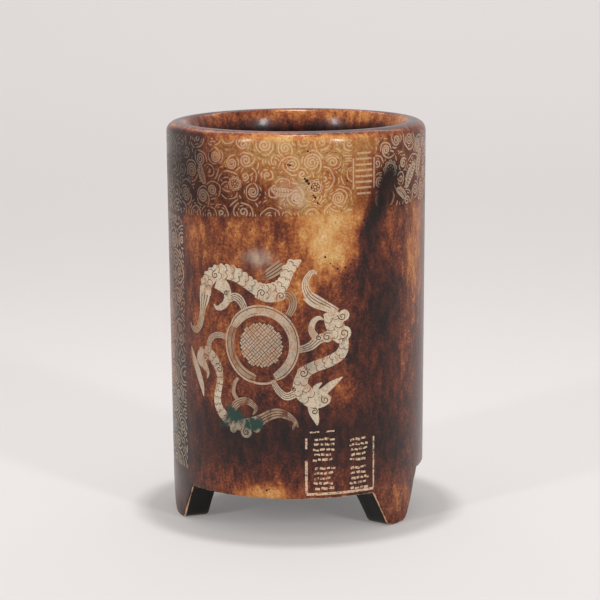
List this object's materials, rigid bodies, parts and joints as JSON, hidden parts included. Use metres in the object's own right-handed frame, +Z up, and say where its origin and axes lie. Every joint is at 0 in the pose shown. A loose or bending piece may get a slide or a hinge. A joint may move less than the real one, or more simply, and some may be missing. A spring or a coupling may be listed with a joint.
{
  "type": "brush pot",
  "caption": "Tall cylindrical stoneware pot with a thick wall, rounded lip and cut-out feet, for standing writing brushes in.",
  "frame": {"origin": "on the ground under the pot's axis, at the middle of the feet's circle", "axes": "+Z up along the pot's axis; the front, with the main roundel, faces -Y; +X is to the right seen from the front"},
  "size_m": [0.11, 0.11, 0.168],
  "materials": {
    "glazed_stoneware": "mottled honey-brown to black-brown glaze, semi-gloss, with pale grey-cream inlaid line ornament"
  },
  "bodies": {
    "root": {"brush_pot": "glazed_stoneware"}
  },
  "joints": []
}
